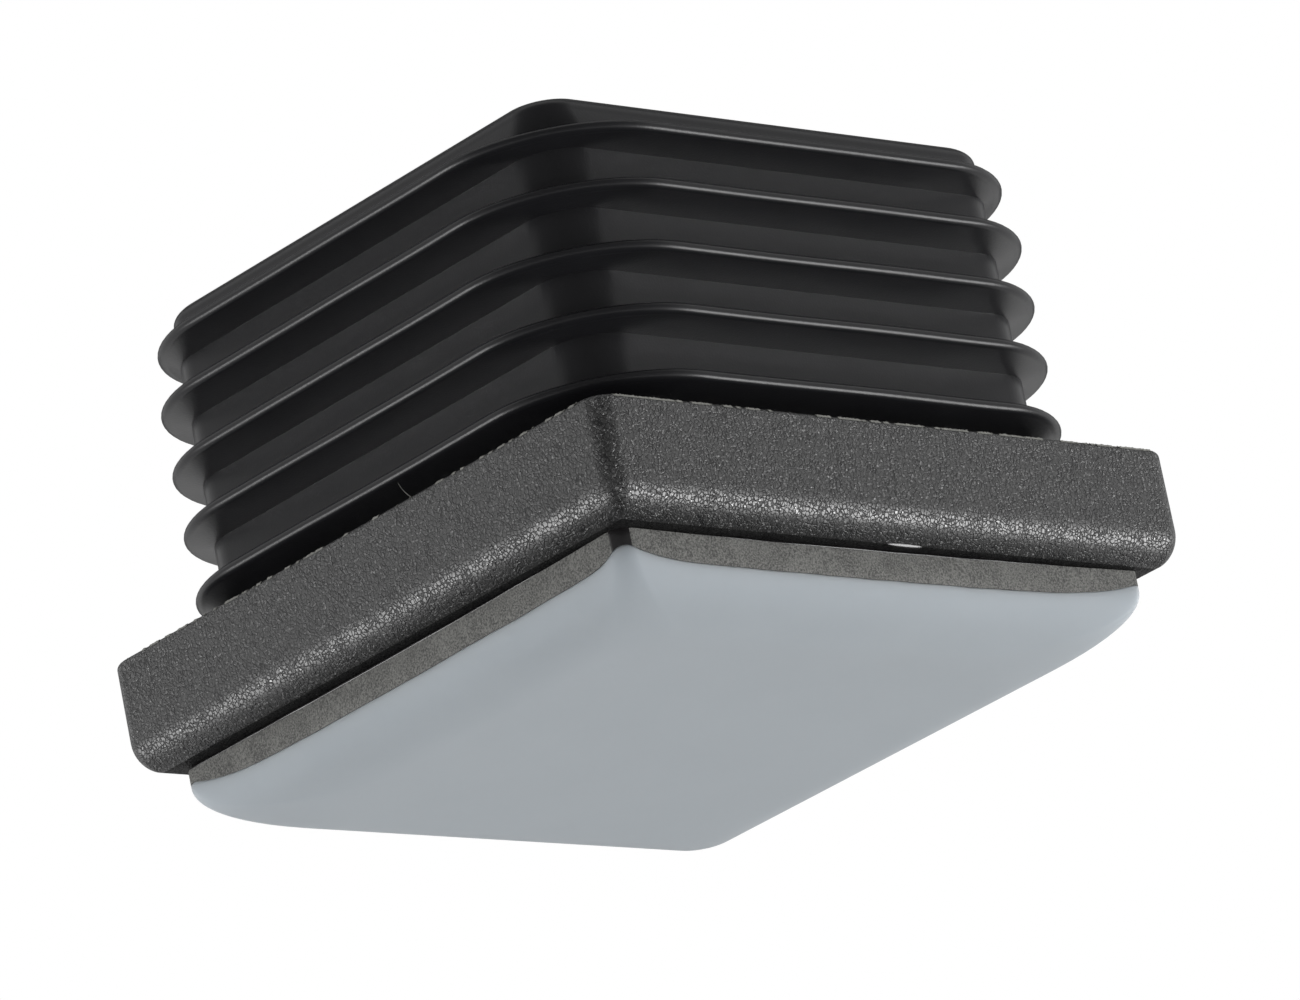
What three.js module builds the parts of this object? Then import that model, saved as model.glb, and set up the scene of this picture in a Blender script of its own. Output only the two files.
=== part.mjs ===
// Square tube glide: a ribbed plug that presses into the end of a square tube,
// with a rubber-backed PTFE pad bonded under its flange.
// Millimetres, +Z up along the plug. The origin is the middle of the sole's flat underside.

import * as THREE from "three";

// Tube that the glide closes
const TUBE_SIDE = 40;
const TUBE_WALL = 2;

// Flange: it covers the end of the tube, flush with the tube's sides
const FLANGE_HEIGHT = 6.4;
const FLANGE_CORNER = 1.2;
const FLANGE_LOWER_EDGE = 2;
const FLANGE_UPPER_EDGE = 0.35;
const SEAT_CLEARANCE = 0.15;

// Core: the hollow square post that carries the ribs, clear of the tube's inner walls
const CORE_CLEARANCE = 1.9;
const CORE_CORNER = 3;
const CORE_WALL = 2;
const CORE_LIP = 0.85;
const COLLAR_HEIGHT = 0.64;

// Cavity: open at the plug's top
const CAVITY_CORNER = 1.5;
const CAVITY_DRAFT = 0.4;
const CAVITY_FILLET = 1;
const CAVITY_MOUTH_EDGE = 0.4;
const CAVITY_FLOOR = 2.5;

// Ribs: thin tapered lamellae that bend inside the tube. The top one leads, and is a little smaller
const RIB_COUNT = 5;
const RIB_GAP = 1.7;
const RIB_GRIP = 0.65;
const RIB_ROUNDING = 5;
const RIB_TIP = 0.5;
const RIB_TAPER = 0.36;
const RIB_ROOT_FILLET = 0.25;
const LOWEST_GAP = 1.34;
const LOWEST_GAP_EXTRA = 0.18;
const LEAD_RIB_SETBACK = 0.35;

// Pad: rubber body with a PTFE sole formed over its lower edge
const PAD_SETBACK = 2;
const PAD_CORNER = 1.2;
const PAD_UPPER_EDGE = 0.2;
const RUBBER_BAND = 0.55;
const SOLE_THICKNESS = 1;
const SOLE_RIM_THICKNESS = 0.6;
const SOLE_ROLL_WIDTH = 4.4;
const SOLE_ROLL_HEIGHT = 3;
const SOLE_ROLL_SPREAD = 1.4;
const SOLE_RIM_HEIGHT = 2.1;
const SOLE_RIM_RISE = 0.9;
const SOLE_RISE_LENGTH = 7;
const BOND_LINE = 0.2;

// Adhesive film between the pad and the flange
const FILM_THICKNESS = 0.2;
const FILM_SETBACK = 0.3;

// Facets of arcs and of the pad's sides
const CORNER_STEPS = 8;
const PAD_CORNER_STEPS = 6;
const PAD_SIDE_STEPS = 10;
const EDGE_STEPS = 5;
const NOSE_STEPS = 4;
const ROLL_STEPS = 8;
const RIGHT_ANGLE = Math.PI / 2;

// Widths that follow from the tube
const TUBE_BORE = TUBE_SIDE - 2 * TUBE_WALL;
const RIB_SIDE = TUBE_BORE + 2 * RIB_GRIP;
const RIB_CORNER = CORE_CORNER + RIB_ROUNDING;
const CORE_SIDE = TUBE_BORE - 2 * CORE_CLEARANCE;
const CAVITY_SIDE = CORE_SIDE - 2 * CORE_WALL;
const PAD_SIDE = TUBE_SIDE - 2 * PAD_SETBACK;

// Heights that follow from the sizes above
const PAD_HEIGHT = SOLE_RIM_HEIGHT + SOLE_RIM_RISE + BOND_LINE + RUBBER_BAND;
const FILM_TOP = PAD_HEIGHT + FILM_THICKNESS;
const FLANGE_TOP = FILM_TOP + FLANGE_HEIGHT;
const CAVITY_BOTTOM = FILM_TOP + CAVITY_FLOOR;
const RIB_ROOT = RIB_TIP / 2 + RIB_TAPER;
const RIB_FOOT = RIB_ROOT + RIB_ROOT_FILLET;
const RIB_PITCH = 2 * RIB_FOOT + RIB_GAP;
const LOWEST_RIB = FLANGE_TOP + LOWEST_GAP + RIB_FOOT;
const SECOND_RIB = LOWEST_RIB + RIB_PITCH + LOWEST_GAP_EXTRA;
const LEAD_RIB = SECOND_RIB + (RIB_COUNT - 2) * RIB_PITCH;
const PLUG_TOP = LEAD_RIB + RIB_FOOT + COLLAR_HEIGHT + CORE_LIP;

// Stations round a square with rounded corners, counter-clockwise seen from above.
// turn runs from 0 to 1 round a corner, along from 0 to 1 down the side that follows it.
function stationsOf(cornerSteps, sideSteps) {
  const stations = [];
  for (let quarter = 0; quarter < 4; quarter += 1) {
    for (let step = 0; step <= cornerSteps; step += 1) {
      stations.push({ quarter, turn: step / cornerSteps, along: 0 });
    }
    for (let step = 1; step < sideSteps; step += 1) {
      stations.push({ quarter, turn: 1, along: step / sideSteps });
    }
  }
  return stations;
}

// The point of a rounded square's outline at one station
function outlinePoint(station, side, corner, z) {
  const reach = side / 2 - corner;
  const arcEnd = (quarter, turn) => {
    const middle = (quarter + 0.5) * RIGHT_ANGLE;
    const angle = (quarter + turn) * RIGHT_ANGLE;
    const x = reach * Math.sign(Math.cos(middle)) + corner * Math.cos(angle);
    const y = reach * Math.sign(Math.sin(middle)) + corner * Math.sin(angle);
    return new THREE.Vector3(x, y, z);
  };
  const point = arcEnd(station.quarter, station.turn);
  return station.along > 0 ? point.lerp(arcEnd(station.quarter + 1, 0), station.along) : point;
}

// A level ring of one rounded square
function ring(stations, side, corner, z) {
  return stations.map((station) => outlinePoint(station, side, corner, z));
}

// Skins a list of rings, from the ring round the underside to the ring round the last upward face,
// and closes both ends with flat caps. Rings have as many points as each other.
function loft(rings) {
  const count = rings[0].length;
  const points = rings.flat();
  const faces = [];
  for (let row = 0; row + 1 < rings.length; row += 1) {
    for (let k = 0; k < count; k += 1) {
      const a = row * count + k;
      const b = row * count + ((k + 1) % count);
      faces.push(a, b, b + count, a, b + count, a + count);
    }
  }
  const underside = points.push(new THREE.Vector3(0, 0, rings[0][0].z)) - 1;
  const upside = points.push(new THREE.Vector3(0, 0, rings.at(-1)[0].z)) - 1;
  const last = (rings.length - 1) * count;
  for (let k = 0; k < count; k += 1) {
    const next = (k + 1) % count;
    faces.push(underside, next, k, upside, last + k, last + next);
  }
  const geometry = new THREE.BufferGeometry().setFromPoints(points);
  geometry.setIndex(faces);
  geometry.computeVertexNormals();
  return geometry;
}

// Angles from one end of an arc to the other
function arc(from, to, steps) {
  return [...Array(steps + 1).keys()].map((step) => from + ((to - from) * step) / steps);
}

// Rings of one rib, from its lower root to its upper root: a tapered lamella with a round nose
function ribRings(stations, middle, side) {
  const nose = RIB_TIP / 2;
  const filletSide = CORE_SIDE + 2 * RIB_ROOT_FILLET;
  const filletCorner = CORE_CORNER + RIB_ROOT_FILLET;
  const rings = arc(-RIGHT_ANGLE, RIGHT_ANGLE, NOSE_STEPS).map((angle) => {
    const setback = nose * (1 - Math.cos(angle));
    return ring(stations, side - 2 * setback, RIB_CORNER, middle + nose * Math.sin(angle));
  });
  return [
    ring(stations, CORE_SIDE, CORE_CORNER, middle - RIB_FOOT),
    ring(stations, filletSide, filletCorner, middle - RIB_ROOT),
    ...rings,
    ring(stations, filletSide, filletCorner, middle + RIB_ROOT),
    ring(stations, CORE_SIDE, CORE_CORNER, middle + RIB_FOOT),
  ];
}

// Flange, ribbed core and open cavity in one moulding
function ribbedPlug() {
  const stations = stationsOf(CORNER_STEPS, 1);
  const rings = [];
  for (const angle of arc(0, RIGHT_ANGLE, EDGE_STEPS)) {
    const setback = FLANGE_LOWER_EDGE * (1 - Math.sin(angle));
    const height = FILM_TOP + FLANGE_LOWER_EDGE * (1 - Math.cos(angle));
    rings.push(ring(stations, TUBE_SIDE - 2 * setback, FLANGE_CORNER, height));
  }
  for (const angle of arc(0, RIGHT_ANGLE, NOSE_STEPS)) {
    const setback = FLANGE_UPPER_EDGE * (1 - Math.cos(angle));
    const height = FLANGE_TOP - FLANGE_UPPER_EDGE * (1 - Math.sin(angle));
    rings.push(ring(stations, TUBE_SIDE - 2 * setback, FLANGE_CORNER, height));
  }
  // The seat for the tube's end reaches in almost to the ribs' tips
  rings.push(ring(stations, RIB_SIDE + 2 * SEAT_CLEARANCE, FLANGE_CORNER, FLANGE_TOP));
  rings.push(ring(stations, CORE_SIDE, CORE_CORNER, FLANGE_TOP));

  for (let rib = 0; rib < RIB_COUNT; rib += 1) {
    const middle = rib === 0 ? LOWEST_RIB : SECOND_RIB + (rib - 1) * RIB_PITCH;
    const setback = rib === RIB_COUNT - 1 ? LEAD_RIB_SETBACK : 0;
    rings.push(...ribRings(stations, middle, RIB_SIDE - 2 * setback));
  }

  // Rounded lip of the collar, then the mouth of the cavity. Both roundings share the wall
  const lip = Math.min(CORE_LIP, 0.6 * CORE_WALL);
  for (const angle of arc(0, RIGHT_ANGLE, EDGE_STEPS)) {
    const setback = lip * (1 - Math.cos(angle));
    const height = PLUG_TOP - lip * (1 - Math.sin(angle));
    rings.push(ring(stations, CORE_SIDE - 2 * setback, CORE_CORNER, height));
  }
  const mouth = Math.min(CAVITY_MOUTH_EDGE, 0.3 * CORE_WALL);
  for (const angle of arc(RIGHT_ANGLE, 0, NOSE_STEPS)) {
    const setback = mouth * (1 - Math.cos(angle));
    const height = PLUG_TOP - mouth * (1 - Math.sin(angle));
    rings.push(ring(stations, CAVITY_SIDE + 2 * setback, CAVITY_CORNER, height));
  }

  // Drafted cavity wall, then the fillet round its floor
  for (const angle of arc(RIGHT_ANGLE, 0, NOSE_STEPS)) {
    const setback = CAVITY_DRAFT + CAVITY_FILLET * (1 - Math.sin(angle));
    const height = CAVITY_BOTTOM + CAVITY_FILLET * (1 - Math.cos(angle));
    rings.push(ring(stations, CAVITY_SIDE - 2 * setback, CAVITY_CORNER, height));
  }
  return loft(rings);
}

// How far the rolled lower edge of the pad draws in at a height above the floor
function rollInset(z) {
  const drop = Math.max(1 - z / SOLE_ROLL_HEIGHT, 0);
  return SOLE_ROLL_WIDTH * (1 - Math.sqrt(1 - drop * drop));
}

// Height of the sole's rim: level along the sides, climbing towards the corners
function rimHeight(station) {
  const straight = PAD_SIDE - 2 * PAD_CORNER;
  const fromCorner = Math.min(station.along, 1 - station.along) * straight;
  const climb = station.along > 0 ? Math.max(1 - fromCorner / SOLE_RISE_LENGTH, 0) : 1;
  return SOLE_RIM_HEIGHT + SOLE_RIM_RISE * climb * climb;
}

// A point of the rolled outer face, or of a face that lies some depth inside it
function rolledPoint(station, z, depth) {
  const inset = rollInset(z) + depth;
  return outlinePoint(station, PAD_SIDE - 2 * inset, PAD_CORNER + SOLE_ROLL_SPREAD * inset, z);
}

// Wall of the sole at a share of the way from its floor to its rim, thinner at the rim
function soleWall(share) {
  return SOLE_THICKNESS + (SOLE_RIM_THICKNESS - SOLE_THICKNESS) * share;
}

// Dished PTFE sole: rolled outer face, narrow rim, and an inner face that the rubber fills
function ptfeSole(stations) {
  const rings = arc(0, RIGHT_ANGLE, ROLL_STEPS).map((angle) =>
    stations.map((station) => rolledPoint(station, rimHeight(station) * (1 - Math.cos(angle)), 0)),
  );
  for (const share of arc(1, 0, EDGE_STEPS)) {
    rings.push(
      stations.map((station) => {
        const z = SOLE_THICKNESS + (rimHeight(station) - SOLE_THICKNESS) * share;
        return rolledPoint(station, z, soleWall(share));
      }),
    );
  }
  return loft(rings);
}

// Rubber body: it fills the dish, steps out over the rim and stands flush with the sole above it
function rubberCore(stations) {
  const rings = arc(0, 1, EDGE_STEPS).map((share) =>
    stations.map((station) => {
      const top = rimHeight(station) + BOND_LINE;
      const z = SOLE_THICKNESS + (top - SOLE_THICKNESS) * share;
      return rolledPoint(station, z, soleWall(share) + BOND_LINE);
    }),
  );
  rings.push(stations.map((station) => rolledPoint(station, rimHeight(station) + BOND_LINE, 0)));
  for (const angle of arc(0, RIGHT_ANGLE, NOSE_STEPS)) {
    const setback = PAD_UPPER_EDGE * (1 - Math.cos(angle));
    const height = PAD_HEIGHT - PAD_UPPER_EDGE * (1 - Math.sin(angle));
    rings.push(ring(stations, PAD_SIDE - 2 * setback, PAD_CORNER, height));
  }
  return loft(rings);
}

// Thin square of adhesive film, set back from the pad's edge
function adhesiveFilm() {
  const stations = stationsOf(CORNER_STEPS, 1);
  const side = PAD_SIDE - 2 * FILM_SETBACK;
  return loft([ring(stations, side, PAD_CORNER, PAD_HEIGHT), ring(stations, side, PAD_CORNER, FILM_TOP)]);
}

function piece(name, geometry, look) {
  const mesh = new THREE.Mesh(geometry, new THREE.MeshStandardMaterial({ metalness: 0, ...look }));
  mesh.name = name;
  return mesh;
}

const padStations = stationsOf(PAD_CORNER_STEPS, PAD_SIDE_STEPS);
const glide = new THREE.Group();
glide.add(
  piece("ribbed_plug", ribbedPlug(), { color: 0x1d1d1e, roughness: 0.45 }),
  piece("adhesive_film", adhesiveFilm(), { color: 0x242220, roughness: 0.3 }),
  piece("rubber_core", rubberCore(padStations), { color: 0x55524e, roughness: 0.9 }),
  piece("ptfe_sole", ptfeSole(padStations), { color: 0xa3a9ad, roughness: 0.35 }),
);

export default glide;
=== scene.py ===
"""Square tube glide: a ribbed polyethylene plug with a rubber-backed PTFE pad under its flange.

Sizes are in millimetres, +Z up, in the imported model's own frame. Meshes are written in metres.
"""

import logging
import math
import random
from collections.abc import Callable
from dataclasses import astuple, dataclass, field, replace
from enum import Enum
from functools import partial

import bpy
from mathutils import Matrix, Vector, noise


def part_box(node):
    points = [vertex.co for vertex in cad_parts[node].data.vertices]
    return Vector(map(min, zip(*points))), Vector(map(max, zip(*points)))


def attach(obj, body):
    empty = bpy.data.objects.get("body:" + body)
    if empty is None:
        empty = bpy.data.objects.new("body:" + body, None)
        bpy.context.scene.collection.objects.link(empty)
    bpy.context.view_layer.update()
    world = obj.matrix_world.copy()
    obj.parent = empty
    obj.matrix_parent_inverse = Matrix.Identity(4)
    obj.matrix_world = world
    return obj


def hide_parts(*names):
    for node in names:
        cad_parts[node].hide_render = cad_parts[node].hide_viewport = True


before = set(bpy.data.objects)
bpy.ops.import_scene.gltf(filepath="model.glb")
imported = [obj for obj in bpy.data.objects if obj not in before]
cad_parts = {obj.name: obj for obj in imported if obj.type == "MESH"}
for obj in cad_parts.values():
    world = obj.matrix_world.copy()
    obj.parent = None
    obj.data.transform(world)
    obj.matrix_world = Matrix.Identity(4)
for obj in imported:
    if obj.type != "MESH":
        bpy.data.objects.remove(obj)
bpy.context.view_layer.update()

MM = 0.001
RIGHT_ANGLE = math.pi / 2
IMAGE_WIDTH = 1300
SHEET_CORNERS = ((-1, -1), (1, -1), (1, 1), (-1, 1))
LOG = logging.getLogger("tube_glide")

Faces = list[tuple[int, ...]]
Pair = tuple[float, float]
Ring = list[Vector]
Object = bpy.types.Object
Material = bpy.types.Material
Node = bpy.types.Node
Socket = bpy.types.NodeSocket
AddNode = Callable[..., Node]
Pattern = tuple[Node, dict[str, object]]


class Slot(Enum):
    """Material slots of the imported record."""

    POLYETHYLENE = "black_polyethylene"
    ADHESIVE = "adhesive"
    RUBBER = "grey_rubber"
    PTFE = "ptfe"


class Corner(Enum):
    """Corners of the square as the camera sees them, by the quarter turn from +X that starts each."""

    FAR = 0
    LEFT = 1
    NEAR = 2
    RIGHT = 3


class Band(Enum):
    """Finishes of the moulding's bands, by material number."""

    SATIN = 0
    GRAIN = 1
    # The flange's underside, darker as painted shade.
    SHADED_UNDERSIDE = 2


# Shapes


@dataclass(frozen=True)
class Station:
    """A place on a rounded square: a share of one corner's turn, then of the side that follows it."""

    quarter: int
    turn: float
    along: float


@dataclass(frozen=True)
class Level:
    """A level rounded square: width over its flats, corner radius and height."""

    side: float
    corner: float
    z: float

    def toward(self, other: "Level", share: float) -> "Level":
        """The level a share of the way to another one."""
        return Level(*(a + (b - a) * share for a, b in zip(astuple(self), astuple(other))))

    def distance(self, other: "Level") -> float:
        """Length of the straight profile between two levels."""
        return math.hypot((other.side - self.side) / 2, other.z - self.z)

    def point(self, station: Station) -> Vector:
        """The outline's point at a station.

        Args:
            station: Where on the outline.

        Returns:
            The point, in millimetres.
        """
        start = self.arc_point(station.quarter, station.turn)
        if station.along == 0:
            return start
        return start.lerp(self.arc_point(station.quarter + 1, 0), station.along)

    def arc_point(self, quarter: int, turn: float) -> Vector:
        """A point of one corner's arc.

        Args:
            quarter: Which corner, by quarter turns from +X.
            turn: Share of the arc, from 0 to 1.

        Returns:
            The point, in millimetres.
        """
        reach = self.side / 2 - self.corner
        middle = (quarter + 0.5) * RIGHT_ANGLE
        angle = (quarter + turn) * RIGHT_ANGLE
        x = math.copysign(reach, math.cos(middle)) + self.corner * math.cos(angle)
        y = math.copysign(reach, math.sin(middle)) + self.corner * math.sin(angle)
        return Vector((x, y, self.z))


def stations_of(corner_steps: int, side_steps: int) -> list[Station]:
    """Stations once round a rounded square, counter-clockwise seen from above.

    Args:
        corner_steps: Steps round each corner.
        side_steps: Steps down each side.

    Returns:
        The stations in order.
    """
    stations = []
    for quarter in range(4):
        stations += [Station(quarter, step / corner_steps, 0) for step in range(corner_steps + 1)]
        stations += [Station(quarter, 1, step / side_steps) for step in range(1, side_steps)]
    return stations


def arc(start: float, end: float, steps: int) -> list[float]:
    """Evenly spaced values from start to end."""
    return [start + (end - start) * step / steps for step in range(steps + 1)]


def hump(share: float) -> float:
    """A smooth hump: 0 at both ends of a span and 1 in its middle."""
    return 4 * share * (1 - share)


def rounding(side: float, corner: float, z: float, radius: float, angles: list[float]) -> list[Level]:
    """Levels round an arc of the profile.

    Args:
        side: Width between the arc's centres on opposite flats.
        corner: Corner radius of the levels.
        z: Height of the arc's centre.
        radius: The arc's radius.
        angles: Angle of each level, 0 outward and a right angle up.

    Returns:
        The levels in order of the angles.
    """
    return [Level(side + 2 * radius * math.cos(a), corner, z + radius * math.sin(a)) for a in angles]


def held_flat(levels: list[Level], hold: float) -> list[Level]:
    """Adds levels close to the ends of each flat, so that smooth shading leaves the flat alone.

    Args:
        levels: The profile's levels.
        hold: Distance of the added levels from the flat's ends.

    Returns:
        The longer list of levels.
    """
    held = [levels[0]]
    for below, above in zip(levels, levels[1:]):
        length = below.distance(above)
        if length > 4 * hold:
            held += [below.toward(above, hold / length), below.toward(above, 1 - hold / length)]
        held.append(above)
    return held


@dataclass
class Skin:
    """A closed skin over rings of points, from the middle of an underside to the middle of a top."""

    name: str
    rings: list[Ring] = field(default_factory=list)
    finishes: list[int] = field(default_factory=list)

    def add(self, rings: list[Ring], finish: int = 0) -> None:
        """Adds rings, with the finish of the bands that lead to them."""
        self.rings += rings
        self.finishes += [finish] * len(rings)

    def points(self) -> list[Vector]:
        """Points of all rings in order, then the middles of the underside and the top."""
        points = [point for ring in self.rings for point in ring]
        return points + [sum(ring, Vector()) / len(ring) for ring in (self.rings[0], self.rings[-1])]

    def faces(self) -> tuple[Faces, list[int]]:
        """Faces of the skin.

        Returns:
            Point numbers of each face, and each face's finish. The last two points are the caps' middles.
        """
        count = len(self.rings[0])
        last = (len(self.rings) - 1) * count
        under = len(self.rings) * count
        faces, kinds = [], []
        for row in range(len(self.rings) - 1):
            for k in range(count):
                a, b = row * count + k, row * count + (k + 1) % count
                faces.append((a, b, b + count, a + count))
                kinds.append(self.finishes[row + 1])
        for k in range(count):
            following = (k + 1) % count
            faces += [(under, following, k), (under + 1, last + k, last + following)]
            kinds += [self.finishes[0], self.finishes[-1]]
        return faces, kinds

    def to_object(self, materials: list[Material], sharp: float = 50) -> Object:
        """Makes the mesh object.

        Args:
            materials: Materials by finish number.
            sharp: Angle in degrees above which an edge stays sharp.

        Returns:
            The linked object.
        """
        faces, kinds = self.faces()
        piece = mesh_object(self.name, self.points(), faces, materials, sharp)
        piece.data.polygons.foreach_set("material_index", kinds)
        return piece


def mesh_object(
    name: str, points: list[Vector], faces: Faces, materials: list[Material], sharp: float
) -> Object:
    """Makes a smooth-shaded mesh object.

    Args:
        name: The piece's name.
        points: Points in millimetres.
        faces: Point numbers of each face.
        materials: Materials of the piece's slots.
        sharp: Angle in degrees above which an edge stays sharp.

    Returns:
        The linked object.
    """
    mesh = bpy.data.meshes.new(name)
    mesh.from_pydata([point * MM for point in points], [], faces)
    for material in materials:
        mesh.materials.append(material)
    mesh.shade_smooth()
    mesh.set_sharp_from_angle(angle=math.radians(sharp))
    piece = bpy.data.objects.new(name, mesh)
    bpy.context.scene.collection.objects.link(piece)
    return piece


def sweep(sections: list[Ring], points: list[Vector], faces: Faces, tip: Vector | None = None) -> None:
    """Skins a row of closed sections, caps its start, and caps its end or draws it out to a tip.

    Args:
        sections: Sections of as many points each.
        points: The mesh's points, added to.
        faces: The mesh's faces, added to.
        tip: Point that the end is drawn out to, if it has one.
    """
    count, first = len(sections[0]), len(points)
    for section in sections:
        points.extend(section)
    for row in range(len(sections) - 1):
        for k in range(count):
            a, b = first + row * count + k, first + row * count + (k + 1) % count
            faces.append((a, a + count, b + count, b))
    end = len(points) - count
    faces.append(tuple(range(first, first + count)))
    if tip is None:
        faces.append(tuple(range(end + count - 1, end - 1, -1)))
    else:
        points.append(tip)
        faces += [(end + k, end + count, end + (k + 1) % count) for k in range(count)]


def shrunk(ring: Ring, share: float) -> Ring:
    """A level ring drawn in towards the axis to a share of its size."""
    return [Vector((point.x * share, point.y * share, point.z)) for point in ring]


def seat(piece: Object, slot: Slot, *nodes: str) -> Object:
    """Rides a piece on the part's one body and reports it.

    Args:
        piece: The dressed piece.
        slot: The record's material slot; not used.
        nodes: CAD nodes that the piece stands for.

    Returns:
        The same piece.
    """
    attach(piece, "root")
    if nodes:
        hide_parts(*nodes)
    LOG.info("%s: %d faces", piece.name, len(piece.data.polygons))
    return piece


# Finishes


def linear(colour: str) -> tuple[float, float, float, float]:
    """Turns an sRGB hex colour into linear values.

    Args:
        colour: Six hex digits.

    Returns:
        Linear red, green, blue and an alpha of 1.
    """
    channels = [int(colour[k : k + 2], 16) / 255 for k in (0, 2, 4)]
    low = [value / 12.92 for value in channels]
    high = [((value + 0.055) / 1.055) ** 2.4 for value in channels]
    red, green, blue = (a if value <= 0.04045 else b for value, a, b in zip(channels, low, high))
    return red, green, blue, 1.0


def per_metre(size: float) -> float:
    """Texture scale whose features are about this many millimetres wide."""
    return 1 / (size * MM)


def empty_tree(owner: Material | bpy.types.World) -> bpy.types.NodeTree:
    """Turns on the nodes of a material or world and clears them away.

    Args:
        owner: The material or world.

    Returns:
        Its empty node tree.
    """
    owner.use_nodes = True
    owner.node_tree.nodes.clear()
    return owner.node_tree


def add_node(
    tree: bpy.types.NodeTree, kind: str, inputs: dict[str | int, object] | None = None, **settings: object
) -> Node:
    """Adds a node, sets its settings, and sets or links its inputs.

    Args:
        tree: Node tree to add to.
        kind: Node type, without the prefix that all of them share.
        inputs: A value, a socket or a node's first output for each input, by name or number.
        settings: Values of the node's own properties.

    Returns:
        The new node.
    """
    node = tree.nodes.new("ShaderNode" + kind)
    for name, value in settings.items():
        setattr(node, name, value)
    for key, value in (inputs or {}).items():
        source = value.outputs[0] if isinstance(value, Node) else value
        if isinstance(source, Socket):
            tree.links.new(source, node.inputs[key])
        else:
            node.inputs[key].default_value = source
    return node


@dataclass(frozen=True)
class Finish:
    """A named material: one shader, and two colours mixed by a pattern in the part's frame."""

    name: str
    colours: tuple[str, str]
    ior: float = 1.51

    def material(self) -> Material:
        """Makes the material.

        Returns:
            The material with all its nodes.
        """
        made = bpy.data.materials.new(self.name)
        add = partial(add_node, empty_tree(made))
        mask, sockets = self.pattern(add, add("TexCoord").outputs["Object"])
        first, second = (linear(colour) for colour in self.colours)
        tint = add("Mix", {"Factor": mask, 6: first, 7: second}, data_type="RGBA")
        shader = add("BsdfPrincipled", {"Base Color": tint.outputs[2], "IOR": self.ior, **sockets})
        add("OutputMaterial", {"Surface": shader})
        return made

    def pattern(self, add: AddNode, where: Socket) -> Pattern:
        """Adds the finish's pattern nodes.

        Args:
            add: Adds a node to the material.
            where: Coordinates in the part's frame, in metres.

        Returns:
            The node that mixes the two colours, and a value or node for each other input of the shader.
        """
        raise NotImplementedError


@dataclass(frozen=True)
class SatinPolyethylene(Finish):
    """Low-density polyethylene moulded against a polished steel core.

    A soft satin: broad dull highlights on the rib noses, faint cloudiness, no visible grain.
    """

    name: str = "polyethylene_moulded_satin"
    colours: tuple[str, str] = ("161618", "1c1c1e")
    cloud_size: float = 2.5
    skin_size: float = 0.14
    skin_depth: float = 0.006
    roughness: Pair = (0.26, 0.36)
    specular: float = 0.2

    def pattern(self, add: AddNode, where: Socket) -> Pattern:
        """Adds the satin's clouds and skin.

        Args:
            add: Adds a node to the material.
            where: Coordinates in the part's frame, in metres.

        Returns:
            The node that mixes the two colours, and the shader's other inputs.
        """
        scale = per_metre(self.cloud_size)
        clouds = add("TexNoise", {"Vector": where, "Scale": scale, "Detail": 3.0, "Roughness": 0.55})
        low, high = self.roughness
        dullness = add("MapRange", {"Value": clouds, "To Min": low, "To Max": high})
        skin = add("TexNoise", {"Vector": where, "Scale": per_metre(self.skin_size), "Detail": 2.0})
        bump = add("Bump", {"Height": skin, "Distance": self.skin_depth * MM})
        return clouds, {"Roughness": dullness, "Specular IOR Level": self.specular, "Normal": bump}


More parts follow.
